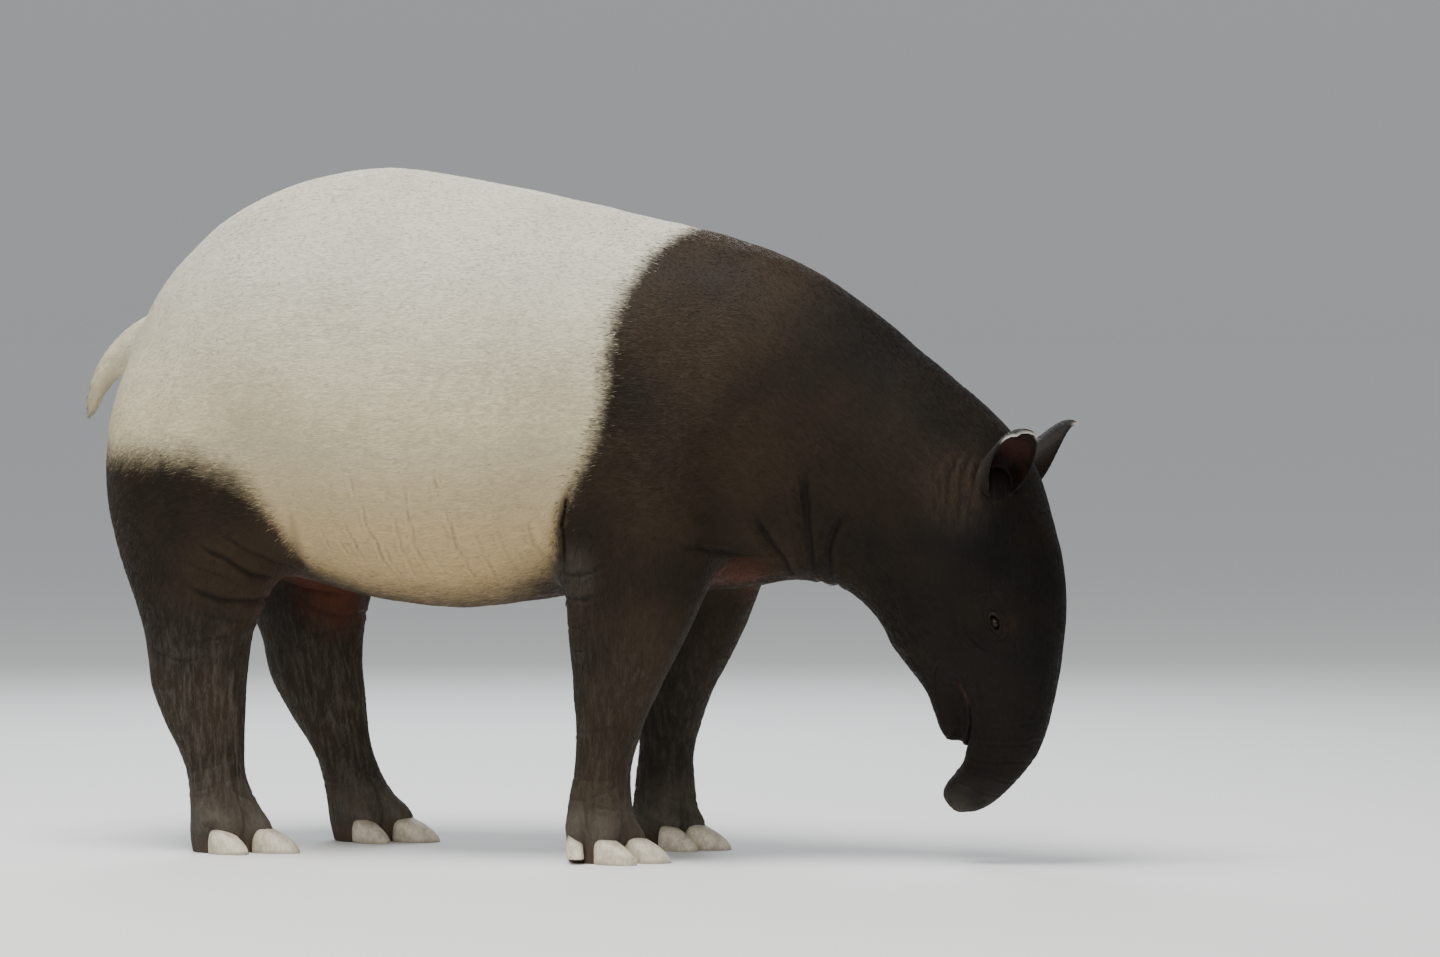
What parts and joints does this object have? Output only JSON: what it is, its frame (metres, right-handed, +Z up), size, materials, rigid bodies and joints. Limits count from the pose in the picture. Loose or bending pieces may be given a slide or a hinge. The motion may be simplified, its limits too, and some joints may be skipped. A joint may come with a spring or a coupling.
{
  "type": "malayan tapir model",
  "caption": "Life-size Malayan tapir standing with its head lowered to graze, snout near the floor, as a still museum model.",
  "frame": {"origin": "on the floor under the middle of the model's bounding box", "axes": "+X the way the animal faces, +Y its left side, +Z up"},
  "size_m": [1.631, 0.5794, 1.082],
  "materials": {
    "hide_black": "short dark brown-black hair over hide",
    "hide_pale": "short grey-white hair over hide, the saddle marking",
    "hoof_horn": "dull cream to grey-brown horn",
    "eye": "wet, very dark brown"
  },
  "bodies": {
    "root": {"ear_left": "hide_black", "ear_right": "hide_black", "eye_left": "eye", "eye_right": "eye", "foot_front_left": "hide_black", "foot_front_right": "hide_black", "foot_hind_left": "hide_black", "foot_hind_right": "hide_black", "head": "hide_black", "hindquarters": "hide_pale", "hoof_front_left_fifth": "hoof_horn", "hoof_front_left_fourth": "hoof_horn", "hoof_front_left_second": "hoof_horn", "hoof_front_left_third": "hoof_horn", "hoof_front_right_fifth": "hoof_horn", "hoof_front_right_fourth": "hoof_horn", "hoof_front_right_second": "hoof_horn", "hoof_front_right_third": "hoof_horn", "hoof_hind_left_fourth": "hoof_horn", "hoof_hind_left_second": "hoof_horn", "hoof_hind_left_third": "hoof_horn", "hoof_hind_right_fourth": "hoof_horn", "hoof_hind_right_second": "hoof_horn", "hoof_hind_right_third": "hoof_horn", "leg_front_left": "hide_black", "leg_front_right": "hide_black", "leg_hind_left": "hide_black", "leg_hind_right": "hide_black", "lower_jaw": "hide_black", "neck": "hide_black", "snout": "hide_black", "tail": "hide_pale", "torso": "hide_pale"}
  },
  "joints": []
}
